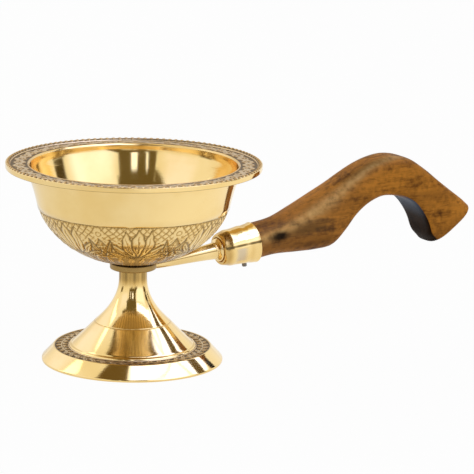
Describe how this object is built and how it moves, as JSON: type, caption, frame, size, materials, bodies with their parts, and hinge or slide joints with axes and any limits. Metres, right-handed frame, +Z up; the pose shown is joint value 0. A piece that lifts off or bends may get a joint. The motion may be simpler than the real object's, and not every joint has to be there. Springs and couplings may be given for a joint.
{
  "type": "hand censer",
  "caption": "Footed round bowl with a wide flange, on a trumpet stem, with a side arm, a ferrule and a hooked wooden grip, for carrying glowing incense or charcoal.",
  "frame": {"origin": "on the floor, under the centre of the whole part's box; the bowl, stem and foot turn about a vertical axis 58.0 mm towards -X from it", "axes": "+X from the stem along the handle to its tip, +Z up out of the bowl"},
  "size_m": [0.226, 0.11, 0.0874],
  "materials": {
    "polished_brass": "polished, engraved and darkened in the recesses of belly, flange and foot ring",
    "cast_brass": "cast, filed and polished, duller at the eye",
    "plain_steel": "plain, darkened",
    "grip_wood": "carved hardwood, satin lacquer"
  },
  "bodies": {
    "stand": {"bowl": "polished_brass", "stem": "polished_brass", "foot_base": "polished_brass", "centre_bolt": "polished_brass", "foot_washer": "plain_steel", "foot_nut": "plain_steel"},
    "handle": {"handle_arm": "cast_brass", "ferrule": "polished_brass", "ferrule_pin": "plain_steel", "wooden_grip": "grip_wood"}
  },
  "joints": [
    {"name": "handle_swivel", "type": "hinge", "parent": "stand", "child": "handle", "pos_m": [-0.05803, 0, 0.0416], "axis": [0, 0, 1], "continuous": true}
  ]
}
